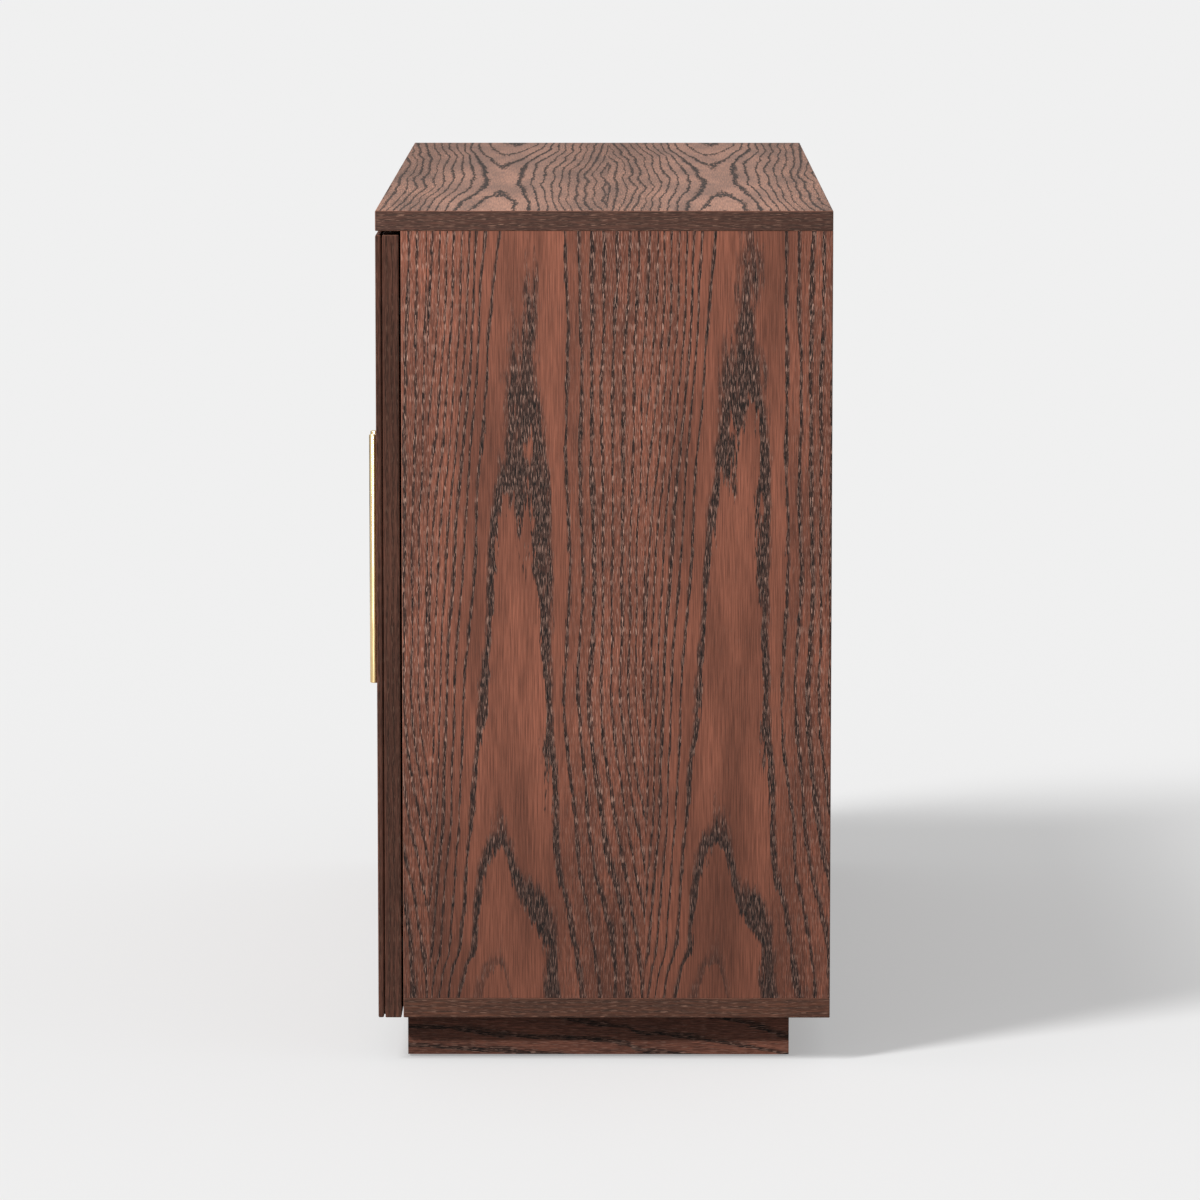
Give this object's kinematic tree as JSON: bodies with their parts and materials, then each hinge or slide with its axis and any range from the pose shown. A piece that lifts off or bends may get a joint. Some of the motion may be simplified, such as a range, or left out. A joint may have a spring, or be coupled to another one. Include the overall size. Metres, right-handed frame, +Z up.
{
  "type": "two-door kang cabinet",
  "caption": "Low free-standing cabinet in dark stained veneer: overlay doors with slim brass bar pulls, inner shelves and a recessed plinth.",
  "frame": {"origin": "on the floor, under the middle of the whole object with its pulls", "axes": "+X along the cabinet to the right seen from the front, doors face -Y, +Z up"},
  "size_m": [1.2, 0.48, 0.85],
  "materials": {
    "stained_veneer": "open-pored veneer, dark red-brown stain, satin",
    "back_board": "stained thin board, satin",
    "plain_timber": "raw",
    "brass": "brushed and lacquered",
    "nickelled_steel": "nickel plated",
    "black_nickel": "black nickel plated, satin",
    "zinc": "cast zinc",
    "steel_screw": "bright zinc plated",
    "glide_plastic": "moulded",
    "bumper_rubber": "soft clear polymer"
  },
  "bodies": {
    "cabinet": {"top_panel": "stained_veneer", "bottom_panel": "stained_veneer", "left_side_panel": "stained_veneer", "right_side_panel": "stained_veneer", "centre_partition": "stained_veneer", "left_shelf": "stained_veneer", "right_shelf": "stained_veneer", "plinth_front_rail": "stained_veneer", "plinth_rear_rail": "stained_veneer", "plinth_left_rail": "stained_veneer", "plinth_middle_rail": "stained_veneer", "plinth_right_rail": "stained_veneer", "left_back_panel": "back_board", "right_back_panel": "back_board", "carcass_dowels": "plain_timber", "plinth_corner_blocks": "plain_timber", "shelf_pins": "nickelled_steel", "cam_bolts": "nickelled_steel", "left_hinge_arms": "black_nickel", "left_hinge_plates": "black_nickel", "right_hinge_arms": "black_nickel", "right_hinge_plates": "black_nickel", "left_plate_screws": "black_nickel", "left_arm_screws": "black_nickel", "right_plate_screws": "black_nickel", "right_arm_screws": "black_nickel", "cam_locks": "zinc", "plinth_screws": "steel_screw", "plinth_glides": "glide_plastic"},
    "left_door": {"left_door_core": "stained_veneer", "left_door_facing": "stained_veneer", "left_door_bumpers": "bumper_rubber", "left_pull_bar": "brass", "left_pull_posts": "brass", "left_pull_screws": "steel_screw", "left_hinge_cups": "black_nickel", "left_cup_screws": "black_nickel", "left_hinge_pins": "black_nickel"},
    "right_door": {"right_door_core": "stained_veneer", "right_door_facing": "stained_veneer", "right_door_bumpers": "bumper_rubber", "right_pull_bar": "brass", "right_pull_posts": "brass", "right_pull_screws": "steel_screw", "right_hinge_cups": "black_nickel", "right_cup_screws": "black_nickel", "right_hinge_pins": "black_nickel"}
  },
  "joints": [
    {"name": "left_door_hinge", "type": "hinge", "parent": "cabinet", "child": "left_door", "pos_m": [-0.593, -0.1985, 0.4355], "axis": [0, 0, -1], "range_deg": [0, 100]},
    {"name": "right_door_hinge", "type": "hinge", "parent": "cabinet", "child": "right_door", "pos_m": [0.593, -0.1985, 0.4355], "axis": [0, 0, 1], "range_deg": [0, 100]}
  ]
}
